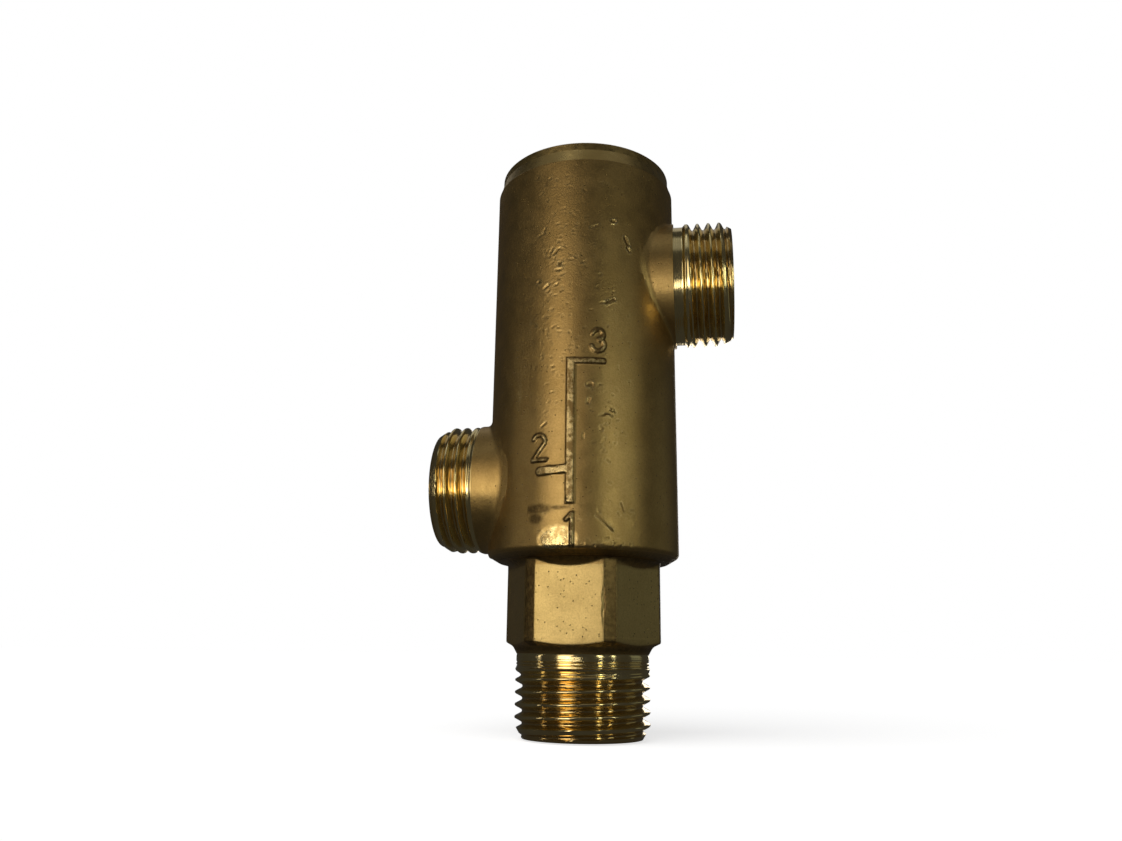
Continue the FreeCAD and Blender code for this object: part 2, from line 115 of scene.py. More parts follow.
# ---------------------------------------------------------------- G 1/2 thread
pitch = 1.8143
thread_depth = 1.162
flank_height = 0.9605 * pitch    # height of the sharp triangle of a 55 degree thread
flank_rounding = 0.16
lead_in_depth = 1.18
lead_in_length = 2.0
crest_1 = 3.47                   # place of a crest at the front of each connection
crest_2 = 22.6
crest_3 = 18.14

# ---------------------------------------------------------------- bores
hot_bore_radius = 9.05
cold_chamber_radius = 11.0
cold_floor_z = 30.5
plug_thread_radius = 13.0
plug_thread_z = plug_end_z + 4.0

# ---------------------------------------------------------------- raised marks on the front
mark_height = 0.26
mark_shoulder = 0.24             # width of the sloping edge of a mark
bar_half_width = 0.6
tick_3_half_width = 0.4
digit_half_width = 0.27

# ---------------------------------------------------------------- wear of the skin
# patches as mm round from the front, height, half width and half height
worn_patch = (-1.9, 28.6, 2.9, 1.9)
worn_depth = 0.07
stains = [(-5.0, 33.1, 2.3, 0.75), (-1.7, 33.2, 1.6, 0.3), (-5.3, 31.7, 1.1, 0.8)]
# small nicks as place, spread round, spread in height, and how many
nick_fields = [
    (-1.8, 73.5, 2.2, 3.6, 40),
    (-2.6, 64.5, 2.2, 2.6, 34),
    (2.0, 76.0, 3.4, 3.5, 18),
    (5.4, 45.0, 1.5, 3.2, 34),
    (-4.5, 54.0, 2.2, 7.0, 30),
    (4.0, 32.5, 5.0, 2.5, 18),
    (4.6, 27.9, 2.6, 0.3, 30),
    (-2.0, 85.5, 5.0, 2.0, 20),
    (1.0, 62.0, 5.5, 14.0, 60),
    (-2.4, 60.0, 2.0, 3.0, 24),
]
# nicks at an edge of the foot as angle from the middle of the flat, height, half angle, half height and depth
foot_nicks = [
    (25.0, 20.6, 1.1, 0.5, 0.14),
    (25.4, 19.3, 1.0, 0.7, 0.12),
    (24.6, 18.4, 0.9, 0.4, 0.12),
    (25.2, 21.6, 0.8, 0.4, 0.08),
    (25.0, 17.2, 0.7, 0.5, 0.06),
    (-25.2, 22.8, 0.7, 0.4, 0.05),
]

# ---------------------------------------------------------------- how fine the mesh is
front_left, front_right = -26.0, 38.0   # degrees round from the front; the fine columns lie between them
front_step = 0.72                # degrees between the fine columns
around_step = 3.0                # degrees between the other columns
edge_step = 0.5                  # degrees between the columns beside an edge of a flat
flat_edges = (-27.2, -24.2, 24.2, 27.2)  # where they gather, in degrees from the middle of each flat
rows_skipped = 16                # one row in so many goes right round the body
spigot_columns = 100
side_row_step = 0.125
bottom_row_step = 0.115
neck_row_step = 0.06
bore_columns = 96
crease_angle = 32.0              # edges sharper than this stay sharp

# ---------------------------------------------------------------- camera
camera_place = (18.877, -141.801, 12.317)
camera_yaw = 9.131
camera_pitch = 14.862
camera_roll = -0.743
camera_lens = 28.32              # on a sensor 36 mm wide

# ---------------------------------------------------------------- studio
room_level = 0.035               # what metal mirrors of the white surroundings
spill_level = 0.035              # light that the surroundings give
floor_lamp_share = 0.3           # share of the floor's white that a lamp gives, so that a shadow shows
floor_colour = 0.8
# upright lamps as name, azimuth, distance, lower and upper height, half width in degrees, radiance and colour
softboxes = [
    ("key", -23, 200, 1, 56, 10.0, 3.2, (1.0, 0.93, 0.82)),
    ("key_upper", -22, 220, 60, 170, 13, 1.2, (1.0, 0.87, 0.72)),
    ("fill_inner", 37.5, 200, 26, 115, 1.6, 6.5, (0.96, 1.0, 0.84)),
    ("fill_outer", 61, 200, 26, 115, 1.0, 6.0, (0.96, 1.0, 0.84)),
    ("fill_inner_low", 37.5, 200, 1, 26, 0.7, 3.0, (0.96, 1.0, 0.9)),
    ("fill_outer_low", 61, 200, 1, 26, 0.4, 2.5, (0.96, 1.0, 0.9)),
    ("left_strip", -70, 220, 2, 120, 1.0, 3.0, (1.0, 0.93, 0.84)),
    ("right_glow", 112, 260, 2, 120, 14, 0.12, (0.9, 1.0, 0.85)),
    ("back_left", -172, 300, 10, 160, 5, 2.0, (1.0, 0.96, 0.9)),
    ("back_right", 172, 300, 10, 160, 5, 2.0, (1.0, 0.96, 0.9)),
]
# lamps above the top as name, azimuth, elevation, width and height in metres, and radiance
slanted_lamps = [
    ("overhead_strip", -20, 66, 0.02, 0.16, 0.7),
    ("overhead_wide", 5, 66, 0.5, 0.16, 0.17),
    ("overhead_back", 200, 52, 0.22, 0.16, 0.3),
]
slanted_distance = 0.25          # metres from the top of the body
# the glow off the table: metres from the axis, azimuth, width and depth in metres, and radiance
glow_distance = 0.3
glow_azimuth = -10
glow_size = (0.1, 0.28)
glow_radiance = 3.8


def make_object(name, points, faces):
    """Object of a closed mesh, its points in mm; points that no face uses are left out."""
    used = np.unique(np.fromiter((corner for face in faces for corner in face), int))
    renumbered = np.zeros(len(points), int)
    renumbered[used] = np.arange(len(used))
    mesh = bpy.data.meshes.new(name)
    mesh.from_pydata((points[used] * mm).tolist(), [], [renumbered[face].tolist() for face in faces])
    mesh.update()
    solid = bpy.data.objects.new(name, mesh)
    bpy.context.scene.collection.objects.link(solid)
    return solid


def ring_solid(name, rings, fine=None, kept=None):
    """Closed mesh through rings of points (rows, columns, xyz in mm), with flat ends.

    Columns that aren't fine use the kept rows only.
    """
    rings = np.asarray(rings, float)
    rows, columns = rings.shape[:2]
    index = np.arange(rows * columns).reshape(rows, columns)
    fine = np.ones(columns, bool) if fine is None else fine
    kept = np.arange(rows) if kept is None else kept
    faces = [index[0][::-1], index[-1]]
    for left in range(columns):
        right = (left + 1) % columns
        steps = np.arange(rows) if fine[left] and fine[right] else kept
        for low, high in zip(steps[:-1], steps[1:]):
            up = index[low:high + 1, right] if fine[right] else index[[low, high], right]
            down = index[low:high + 1, left][::-1] if fine[left] else index[[high, low], left]
            faces.append(np.concatenate([up, down])[np.r_[-1, :len(up) + len(down) - 1]])
    return make_object(name, rings.reshape(-1, 3), faces)


def about_z(angles, radii, heights):
    """Points at a grid of radii and heights; the angle runs from the front (-Y) towards +X."""
    angles = np.broadcast_to(angles, radii.shape)
    heights = np.broadcast_to(heights, radii.shape)
    return np.stack([radii * np.sin(angles), -radii * np.cos(angles), heights], axis=-1)


def rounded(corners):
    """Points of a (radius, height) outline; a third number in a corner is its rounding."""
    points = []
    for here, corner in enumerate(corners):
        if len(corner) == 2:
            points.append(corner)
            continue
        middle = Vector(corner[:2])
        back = (Vector(corners[here - 1][:2]) - middle).normalized()
        ahead = (Vector(corners[here + 1][:2]) - middle).normalized()
        half = back.angle(ahead) / 2
        run = corner[2] / tan(half)
        centre = middle + (back + ahead).normalized() * (corner[2] / sin(half))
        start = middle + back * run - centre
        end = middle + ahead * run - centre
        for share in np.linspace(0, 1, 7):
            arm = start.slerp(end, float(share)).normalized() * corner[2]
            points.append(tuple(centre + arm))
    return points


def spread(points, step_at):
    """Fills an outline with points no further apart than step_at(height)."""
    filled = [points[0]]
    for start, end in zip(points[:-1], points[1:]):
        length = hypot(end[0] - start[0], end[1] - start[1])
        count = max(1, round(length / step_at((start[1] + end[1]) / 2)))
        for step in range(1, count + 1):
            share = step / count
            filled.append((start[0] + (end[0] - start[0]) * share, start[1] + (end[1] - start[1]) * share))
    return filled


def ease(value):
    """Smooth step from 0 to 1."""
    value = np.clip(value, 0, 1)
    return value * value * (3 - 2 * value)


def distance_to_run(u, v, start, end):
    """Distance of points (u, v) from a straight run."""
    ax, ay = start
    dx, dy = end[0] - ax, end[1] - ay
    share = np.clip(((u - ax) * dx + (v - ay) * dy) / (dx * dx + dy * dy), 0, 1)
    return np.hypot(u - ax - share * dx, v - ay - share * dy)


def arc(centre, radius, start, end, steps=10):
    """Points of an arc, its angles in degrees."""
    turns = np.radians(np.linspace(start, end, steps + 1))
    return [(centre[0] + radius * cos(turn), centre[1] + radius * sin(turn)) for turn in turns]


def marks():
    """The raised marks as (half width, square ended, points); a point is mm round from the front, and height."""
    bar_u = -0.05
    low, high = 33.8, 56.2
    tick_3_z = high - tick_3_half_width - mark_shoulder / 2
    flow_bar = [(bar_u, low + bar_half_width), (bar_u, high - bar_half_width)]
    tick_3 = [(bar_u, tick_3_z), (4.9, tick_3_z)]
    tick_2 = [(bar_u, 39.0), (-4.75, 38.7)]
    digit_1 = [(-0.55, 31.4), (0.25, 32.25), (0.3, 32.25), (0.3, 27.7)]
    digit_2 = arc((-4.95, 43.35), 0.98, 160, -38) + [(-6.0, 40.45), (-3.75, 40.45)]
    digit_3 = arc((4.1, 59.92), 0.86, 165, -75) + arc((4.1, 58.28), 1.0, 78, -170)
    bars = [(bar_half_width, True, flow_bar), (tick_3_half_width, False, tick_3), (bar_half_width, False, tick_2)]
    return bars + [(digit_half_width, False, digit) for digit in (digit_1, digit_2, digit_3)]


def distance_to_marks(u, v):
    """Signed distance of points from the outline of the nearest mark, negative on it."""
    nearest = np.full(np.broadcast(u, v).shape, 9.0)
    for half_width, square, points in marks():
        for start, end in zip(points[:-1], points[1:]):
            if square:
                middle_v = (start[1] + end[1]) / 2
                half_length = abs(end[1] - start[1]) / 2 + half_width
                away = np.maximum(np.abs(u - start[0]) - half_width, np.abs(v - middle_v) - half_length)
            else:
                away = distance_to_run(u, v, start, end) - half_width
            nearest = np.minimum(nearest, away)
    return nearest


def dents():
    """Nicks in the skin as (mm round from the front, height, length, lean in degrees, half width, depth)."""
    seen = [
        (8.9, 76.3, 1.3, -65, 0.34, 0.16),
        (9.2, 75.0, 0.8, -50, 0.3, 0.14),
        (6.6, 79.4, 0.3, 0, 0.34, 0.22),
        (6.0, 65.6, 1.5, 30, 0.28, 0.16),
        (5.0, 65.4, 0.9, 15, 0.22, 0.10),
        (3.6, 78.3, 1.4, 20, 0.2, 0.10),
        (-2.6, 74.2, 1.3, 50, 0.24, 0.12),
        (-3.4, 74.5, 0.9, 60, 0.2, 0.10),
        (-5.2, 77.6, 1.1, 10, 0.22, 0.09),
        (-4.8, 78.2, 0.6, 55, 0.2, 0.08),
        (-4.2, 68.4, 1.1, 35, 0.24, 0.11),
        (-5.6, 69.4, 0.3, 0, 0.28, 0.12),
        (-2.2, 71.0, 0.8, 0, 0.26, 0.10),
        (-2.0, 72.0, 0.5, 80, 0.3, 0.12),
        (5.1, 30.9, 3.4, -40, 0.15, 0.12),
        (7.9, 33.4, 1.3, -70, 0.16, 0.10),
        (5.2, 47.3, 1.5, 5, 0.16, 0.09),
        (2.9, 52.0, 0.4, 0, 0.42, 0.12),
        (2.7, 49.4, 0.7, 70, 0.3, 0.10),
        (6.5, 47.9, 0.9, -20, 0.18, 0.10),
        (-4.3, 45.9, 0.9, 35, 0.2, 0.09),
        (1.9, 43.9, 0.9, 80, 0.18, 0.08),
    ]
    random = np.random.default_rng(7)
    small = []
    for u, v, wide, high, count in nick_fields:
        for nick in range(count):
            place_u = random.normal(u, wide)
            place_v = random.normal(v, high)
            length = random.uniform(0.1, 0.65)
            lean = random.uniform(-70, 90)
            small.append((place_u, place_v, length, lean, random.uniform(0.16, 0.24), random.uniform(0.02, 0.07)))
    return seen + small


def distance_to_dent(u, v, dent):
    place_u, place_v, length, lean = dent[:4]
    du = cos(radians(lean)) * length / 2
    dv = sin(radians(lean)) * length / 2
    return distance_to_run(u, v, (place_u - du, place_v - dv), (place_u + du, place_v + dv))


def patch(u, v, place_u, place_v, half_wide, half_high, edge):
    """Share of a soft-edged oval patch at each point."""
    away = np.hypot((u - place_u) / half_wide, (v - place_v) / half_high)
    return ease((1 - away) / edge + 0.5)


def skin(u, v):
    """How far the forged skin stands out from the plain cylinder, in mm."""
    raised = mark_height * ease(0.5 - distance_to_marks(u, v) / mark_shoulder)
    for dent in dents():
        away = distance_to_dent(u, v, dent)
        half_width, depth = dent[4:]
        lip = 0.25 * depth * np.exp(-((away / half_width - 1.25) / 0.3) ** 2)
        raised = raised - depth * ease(1 - away / half_width) + lip
    return raised - worn_depth * patch(u, v, *worn_patch, 0.25)


def soft_min(first, second, rounding):
    """Smaller of two radii, with the edge between them rounded off."""
    return (first + second - np.sqrt((first - second) ** 2 + rounding ** 2)) / 2


def soft_max(first, second, rounding):
    return (first + second + np.sqrt((first - second) ** 2 + rounding ** 2)) / 2


def hexagon_reach(angles):
    """Radius of the hexagon with its corners turned down, at angles in radians."""
    off_middle = (angles - radians(hexagon_turn) + pi / 6) % (pi / 3) - pi / 6
    return soft_min(hexagon_half_flats / np.cos(off_middle), hexagon_radius, hexagon_edge)


def edge_nicks(angles, heights):
    """Depth of the small nicks along the upright edge at the right of the front flat."""
    depth = np.zeros(np.broadcast(angles, heights).shape)
    for place, height, half_wide, half_high, deep in foot_nicks:
        nick = patch(np.degrees(angles), heights, hexagon_turn + place, height, half_wide, half_high, 1.0)
        depth = depth + deep * nick
    return depth


def foot_radius(angles, radii, heights):
    """Takes the six milled flats off the turned foot."""
    across = hexagon_reach(angles)
    ledge = hexagon_half_flats + (heights - flat_top_z) / flat_top_slope
    beyond = np.where(heights > foot_high + foot_split, radii + 1.2, radii)
    lower = soft_min(beyond, across, hexagon_rim)
    upper = np.minimum(radii, soft_max(across, ledge, hexagon_rim))
    return np.where(heights < (foot_high + flat_top_z) / 2, lower, upper) - edge_nicks(angles, heights)


def core_angles():
    """Columns round the body: close together at the marks and at the edges of the flats."""
    edges = [hexagon_turn + 60 * side + half for side in range(-3, 3) for half in flat_edges]
    near_edges = [start + step * edge_step for start in edges for step in range(-2, 3)]
    front = np.arange(front_left, front_right, front_step)
    around = [angle for angle in np.arange(-180.0, 180.0, around_step) if not front_left < angle < front_right]
    return np.unique(np.round(np.concatenate([near_edges, front, around]), 2) % 360)


def make_core():
    """Cylinder, shoulder and hexagonal foot, with the marks and nicks in the skin."""
    flare_out, flare_down = foot_flare
    foot_slope = (hexagon_radius - neck_radius - flare_out) / flare_down
    rim_rise = (body_radius - hexagon_radius) * tan(radians(shoulder_angle))
    outline = rounded([
        (neck_radius - 0.6, foot_low - 0.8),
        (neck_radius - 0.05, foot_low - 0.1),
        (neck_radius + flare_out, foot_high - flare_down, foot_flare_fillet),
        (hexagon_radius + 0.5 * foot_slope, foot_high + 0.5),
    ]) + rounded([
        (hexagon_radius, foot_high + 0.51),
        (hexagon_radius, shoulder_z, shoulder_fillet),
        (body_radius, shoulder_z + rim_rise, rim_fillet),
        (body_radius, turned_band_z - 0.12),
        (body_radius - turned_band_step, turned_band_z),
        (body_radius - turned_band_step, bevel_z),
        (bevel_radius, body_top),
    ])

    def step_at(height):
        if height < shoulder_z - 0.6:
            return 0.12 if height < foot_high + 0.5 else 0.3
        if height < shoulder_z + 3:
            return 0.14
        return 0.18 if height < 82 else 0.3

    outline = np.array(spread(outline, step_at))
    angles = np.radians(core_angles())[None, :]
    radii, heights = outline[:, :1], outline[:, 1:]
    on_skin = (heights > shoulder_z + 1.2) & (heights < turned_band_z - 0.2)
    around = (angles + pi) % (2 * pi) - pi
    relief = np.where(on_skin, skin(around * body_radius, heights), 0)
    in_foot = (heights > foot_low) & (heights < flat_top_z + 1.2)
    shaped = np.where(in_foot, foot_radius(around, radii, heights), radii + relief)
    middle = (np.degrees(angles[0]) + 180) % 360 - 180
    fine = (middle > front_left) & (middle < front_right)
    level = heights[:, 0]
    on_foot = (level > foot_high + 1) & (level < shoulder_z - 0.9)
    on_cylinder = (level > shoulder_z + 3.2) & (level < turned_band_z - 0.5)
    kept = np.flatnonzero(~(on_foot | on_cylinder) | (np.arange(len(level)) % rows_skipped == 0))
    return ring_solid("core", about_z(angles, shaped, heights), fine, kept)


def thread_cut(along, turn, crest):
    """Depth of the thread below its major radius, at a place along the axis and a turn about it."""
    phase = ((along - crest) / pitch - turn / (2 * pi)) % 1
    drop = (1 - np.abs(2 * phase - 1)) * flank_height - (flank_height - thread_depth) / 2
    low = flank_rounding
    high = thread_depth - flank_rounding
    drop = np.where(drop < low, low * np.exp(np.minimum(drop - low, 0) / low), drop)
    at_root = thread_depth - flank_rounding * np.exp(-np.maximum(drop - high, 0) / flank_rounding)
    return np.where(drop > high, at_root, drop)


def threaded(along, turn, reach, start, crest):
    """Radius of a threaded spigot: run-out at its start, thread, chamfered end at its reach."""
    run_out = ease((along - start) / (0.8 * pitch))
    radius = thread_radius - thread_cut(along, turn, crest) * run_out
    chamfer = thread_radius - lead_in_depth * np.clip(1 - (reach - along) / lead_in_length, 0, 1)
    return np.minimum(radius, chamfer)


def boss(along, turn, fillet):
    """Radius of a side boss, filleted into the body cylinder."""
    low = np.full(along.shape, boss_radius)
    high = low + fillet
    for step in range(30):
        radius = (low + high) / 2
        outside = np.clip(np.hypot(along, radius * np.cos(turn)) - body_radius, 0, fillet)
        filled = (fillet - (radius - boss_radius)) ** 2 + (fillet - outside) ** 2 > fillet ** 2
        low = np.where(filled, radius, low)
        high = np.where(filled, high, radius)
    return low


def along_axis(direction, height, turn, along, radius):
    """Points about an axis that runs outward from the body; the turn is right-handed about it, from the front."""
    axis = np.array(direction, float)
    front = np.array([0.0, -1.0, 0.0])
    side = np.cross(axis, front)
    arm = radius[..., None] * (np.cos(turn)[..., None] * front + np.sin(turn)[..., None] * side)
    return np.array([0, 0, height]) + along[..., None] * axis + arm


def side_spigot(name, direction, height, reach, boss_end, fillet, relief_end, crest):
    """Side connection from inside the body to its end face."""
    turn = np.linspace(0, 2 * pi, spigot_columns, endpoint=False)[None, :]
    surface = np.sqrt(body_radius ** 2 - (boss_radius * np.cos(turn)) ** 2)
    share = np.concatenate([[0], np.linspace(0.08, 1, 14)])[:, None]
    root = (surface - 1.2) * (1 - share) + boss_end * share
    outer = np.concatenate([
        np.arange(boss_end + 0.02, reach - 0.05, side_row_step),
        [reach],
    ])[:, None] + 0 * turn
    turns = turn + 0 * root
    rows_root = boss(root, turns, fillet)
    turns_outer = turn + 0 * outer
    rows_outer = threaded(outer, turns_outer, reach, relief_end, crest)
    if relief_end > boss_end:
        in_relief = outer < relief_end
        entry = relief_3_radius + np.clip(outer - relief_end + 0.3, 0, 9)
        rows_outer = np.where(in_relief | (entry < rows_outer), np.minimum(entry, rows_outer), rows_outer)
    else:
        blend = ease((outer - boss_end) / 0.5)
        rows_outer = rows_outer * blend + boss_radius * (1 - blend)
    inner_along = np.full((1, turn.shape[1]), 4.0)
    inner_radius = np.full((1, turn.shape[1]), boss_radius - 1)
    along = np.concatenate([inner_along, root, outer])
    radius = np.concatenate([inner_radius, rows_root, rows_outer])
    all_turns = turn + 0 * along
    return ring_solid(name, along_axis(direction, height, all_turns, along, radius))


def bottom_spigot():
    """Connection 1: chamfered threaded end and plain neck."""
    turn = np.linspace(0, 2 * pi, spigot_columns, endpoint=False)[None, :]
    along = np.concatenate([
        [-foot_low - 0.6, -foot_low, -foot_low + 0.35, -foot_low + 0.4],
        np.arange(-neck_low - 1.1, -neck_low - 0.25, neck_row_step),
        np.arange(-neck_low - 0.2, -0.05, bottom_row_step),
        [0.0],
    ])[:, None] + 0 * turn
    turns = turn + 0 * along
    radius = threaded(along, turns, 0.0, -neck_low, -crest_1)
    on_neck = along < -neck_low
    grooves = sum(ease(1 - np.abs(along + groove) / neck_groove_half) for groove in neck_grooves)
    radius = np.where(on_neck, neck_radius, radius) - neck_groove_depth * grooves
    radius = np.where(along < -foot_low + 0.1, neck_radius - 0.1, radius)
    return ring_solid("spigot_1", along_axis((0, 0, -1), 0, turns, along, radius))


def join(objects, name):
    """One object of several that don't touch."""
    mesh = bmesh.new()
    for part in objects:
        mesh.from_mesh(part.data)
        bpy.data.objects.remove(part)
    joined = bpy.data.meshes.new(name)
    mesh.to_mesh(joined)
    mesh.free()
    together = bpy.data.objects.new(name, joined)
    bpy.context.scene.collection.objects.link(together)
    return together


def combine(target, tool, operation):
    """Applies a boolean of tool to target, and removes tool."""
    boolean = target.modifiers.new("combine", "BOOLEAN")
    boolean.operation = operation
    boolean.solver = "MANIFOLD"
    boolean.object = tool
    bpy.context.view_layer.update()
    done = bpy.data.meshes.new_from_object(target.evaluated_get(bpy.context.evaluated_depsgraph_get()))
    target.modifiers.clear()
    target.data = done
    bpy.data.objects.remove(tool)


def turned_space(name, outline):
    """Solid of revolution of a (radius, height) outline that rises from low to high."""
    angles = np.linspace(0, 2 * pi, bore_columns, endpoint=False)[None, :]
    outline = np.array(outline)
    return ring_solid(name, about_z(angles, outline[:, :1] + 0 * angles, outline[:, 1:]))


def inner_space():
    """The bores that are turned from the top."""
    return turned_space("inner_space", [
        (hot_bore_radius, hot_ledge_z),
        (hot_bore_radius, cold_floor_z),
        (cold_chamber_radius, cold_floor_z),
        (cold_chamber_radius, cold_seat_z),
        (main_bore_radius, cold_seat_z),
        (main_bore_radius, plug_thread_z),
        (plug_thread_radius, plug_thread_z + 0.75),
        (plug_thread_radius, body_top + 1),
    ])


def bore(name, direction, height, start, reach):
    """Round waterway of a connection, running past its end face."""
    turn = np.linspace(0, 2 * pi, bore_columns, endpoint=False)[None, :]
    along = np.array([start, reach - 0.5, reach + 1.0])[:, None] + 0 * turn
    radius = np.array([bore_radius, bore_radius, bore_radius + 0.75])[:, None] + 0 * turn
    return ring_solid(name, along_axis(direction, height, turn + 0 * along, along, radius))


def make_forged_body():
    """The whole forging as one closed mesh."""
    forging = make_core()
    spigots = join([
        bottom_spigot(),
        side_spigot("spigot_2", (-1, 0, 0), port_2_z, port_2_reach, boss_2_end, boss_2_fillet, boss_2_end, crest_2),
        side_spigot("spigot_3", (1, 0, 0), port_3_z, port_3_reach, boss_3_end, boss_3_fillet, relief_3_end, crest_3),
    ], "spigots")
    combine(forging, spigots, "UNION")
    combine(forging, inner_space(), "DIFFERENCE")
    bores = join([
        bore("bore_1", (0, 0, -1), 0, -hot_ledge_z - 1, 0),
        bore("bore_2", (-1, 0, 0), port_2_z, 3.0, port_2_reach),
        bore("bore_3", (1, 0, 0), port_3_z, 3.0, port_3_reach),
    ], "bores")
    combine(forging, bores, "DIFFERENCE")
    forging.name = "forged_body"
    forging.data.name = "forged_body"
    forging.data.shade_smooth()
    forging.data.set_sharp_from_angle(angle=radians(crease_angle))
    return forging


# ---------------------------------------------------------------- materials
def new_material(name):
    material = bpy.data.materials.new(name)
    material.use_nodes = True
    tree = material.node_tree
    tree.nodes.clear()
    shader = tree.nodes.new("ShaderNodeBsdfPrincipled")
    output = tree.nodes.new("ShaderNodeOutputMaterial")
    tree.links.new(shader.outputs["BSDF"], output.inputs["Surface"])
    place = tree.nodes.new("ShaderNodeTexCoord").outputs["Object"]
    return material, tree, shader, place


def noise(tree, place, scale, detail=4.0, roughness=0.55, stretch=None):
    """Value of a noise, its scale in waves per metre."""
    if stretch:
        mapping = tree.nodes.new("ShaderNodeMapping")
        mapping.inputs["Scale"].default_value = stretch
        tree.links.new(place, mapping.inputs["Vector"])
        place = mapping.outputs["Vector"]
    node = tree.nodes.new("ShaderNodeTexNoise")
    node.inputs["Scale"].default_value = scale
    node.inputs["Detail"].default_value = detail
    node.inputs["Roughness"].default_value = roughness
    tree.links.new(place, node.inputs["Vector"])
    return node.outputs["Fac"]


def mapped(tree, value, low, high, to_low, to_high):
    node = tree.nodes.new("ShaderNodeMapRange")
    node.inputs["From Min"].default_value = low
    node.inputs["From Max"].default_value = high
    node.inputs["To Min"].default_value = to_low
    node.inputs["To Max"].default_value = to_high
    tree.links.new(value, node.inputs["Value"])
    return node.outputs["Result"]


def mixed(tree, share, first, second):
    """Colour between two, each a colour or a socket."""
    node = tree.nodes.new("ShaderNodeMix")
    node.data_type = "RGBA"
    tree.links.new(share, node.inputs["Factor"])
    for socket, value in ((node.inputs[6], first), (node.inputs[7], second)):
        if isinstance(value, tuple):
            socket.default_value = (*value, 1)
        else:
            tree.links.new(value, socket)
    return node.outputs[2]


def bump(tree, shader, height, depth, strength=1.0):
    """Bumps of a depth in metres, on top of the bumps that are already there."""
    node = tree.nodes.new("ShaderNodeBump")
    node.inputs["Strength"].default_value = strength
    node.inputs["Distance"].default_value = depth
    tree.links.new(height, node.inputs["Height"])
    if shader.inputs["Normal"].links:
        tree.links.new(shader.inputs["Normal"].links[0].from_socket, node.inputs["Normal"])
    tree.links.new(node.outputs["Normal"], shader.inputs["Normal"])


def wear_and_light_share(tree, place, channel, low, high, broken=0.5):
    """Share at a point of one channel of the colour layer, broken up by a fine noise: dirt with painted shade (red),
    wear with painted glints (green), rubbed mark tops (blue).
    """
    layer = tree.nodes.new("ShaderNodeVertexColor")
    layer.layer_name = "wear_and_light"
    split = tree.nodes.new("ShaderNodeSeparateColor")
    tree.links.new(layer.outputs["Color"], split.inputs["Color"])
    speckle = mapped(tree, noise(tree, place, 1500, 5), 0.42, 0.58, 1 - broken, 1)
    product = tree.nodes.new("ShaderNodeMath")
    product.operation = "MULTIPLY"
    tree.links.new(split.outputs[channel], product.inputs[0])
    tree.links.new(speckle, product.inputs[1])
    return mapped(tree, product.outputs["Value"], 0, 1, low, high)


def pits(tree, place, scale, size, share):
    """Small round pits, 1 in a pit and 0 outside; only a share of the cells has one."""
    cells = tree.nodes.new("ShaderNodeTexVoronoi")
    cells.inputs["Scale"].default_value = scale
    tree.links.new(place, cells.inputs["Vector"])
    near = mapped(tree, cells.outputs["Distance"], size, size * 0.5, 0, 1)
    pick = tree.nodes.new("ShaderNodeSeparateColor")
    tree.links.new(cells.outputs["Color"], pick.inputs["Color"])
    chosen = mapped(tree, pick.outputs["Red"], share, share * 0.98, 0, 1)
    product = tree.nodes.new("ShaderNodeMath")
    product.operation = "MULTIPLY"
    tree.links.new(near, product.inputs[0])
    tree.links.new(chosen, product.inputs[1])
    return product.outputs["Value"]


def brass(name, pale, deep, speck, rough, grain, grain_depth, coarse_depth, pit_share):
    """Brass with cloudy colour, uneven gloss, a fine grain, darkened pits, stains, worn spots and rubbed mark tops,
    with painted shade and painted glints from the forging's colour layer; depths are in metres.
    """
    material, tree, shader, place = new_material(name)
    clouds = mapped(tree, noise(tree, place, 130, 5), 0.3, 0.7, 0, 1)
    specks = mapped(tree, noise(tree, place, 3400, 3, 0.7), 0.42, 0.62, 0, 0.4)
    colour = mixed(tree, clouds, deep, pale)
    colour = mixed(tree, specks, colour, speck)
    # Worn bright metal, with painted glints round the nicks.
    colour = mixed(tree, wear_and_light_share(tree, place, "Green", 0, 1, 0.9), colour, wear_and_glint_colour)
    rubbed = mixed(tree, mapped(tree, noise(tree, place, 650, 6, 0.72), 0.45, 0.57, 0, 1), rubbed_colour, wear_and_glint_colour)
    colour = mixed(tree, wear_and_light_share(tree, place, "Blue", 0, 0.8, 0), colour, rubbed)
    holes = pits(tree, place, 2100, 0.24, pit_share)
    # Pits painted darker.
    colour = mixed(tree, mapped(tree, holes, 0, 1, 0, 0.65), colour, dirt_and_shade_colour)
    # Stains and the dark line along the marks, with painted shade in the nicks, under the shoulder, on the foot and on
    # the corners.
    colour = mixed(tree, wear_and_light_share(tree, place, "Red", 0, 1, 0.25), colour, dirt_and_shade_colour)
    tree.links.new(colour, shader.inputs["Base Color"])
    shader.inputs["Metallic"].default_value = 1.0
    gloss = mapped(tree, noise(tree, place, 420, 6), 0.3, 0.7, *rough)
    smoother = tree.nodes.new("ShaderNodeMath")
    smoother.operation = "SUBTRACT"
    tree.links.new(gloss, smoother.inputs[0])
    tree.links.new(wear_and_light_share(tree, place, "Green", 0, 0.16, 0.4), smoother.inputs[1])
    tree.links.new(smoother.outputs["Value"], shader.inputs["Roughness"])
    bump(tree, shader, noise(tree, place, 520, 3), coarse_depth)
    bump(tree, shader, noise(tree, place, grain, 3), grain_depth)
    bump(tree, shader, mapped(tree, holes, 0, 1, 1, 0), pit_depth)
    return material


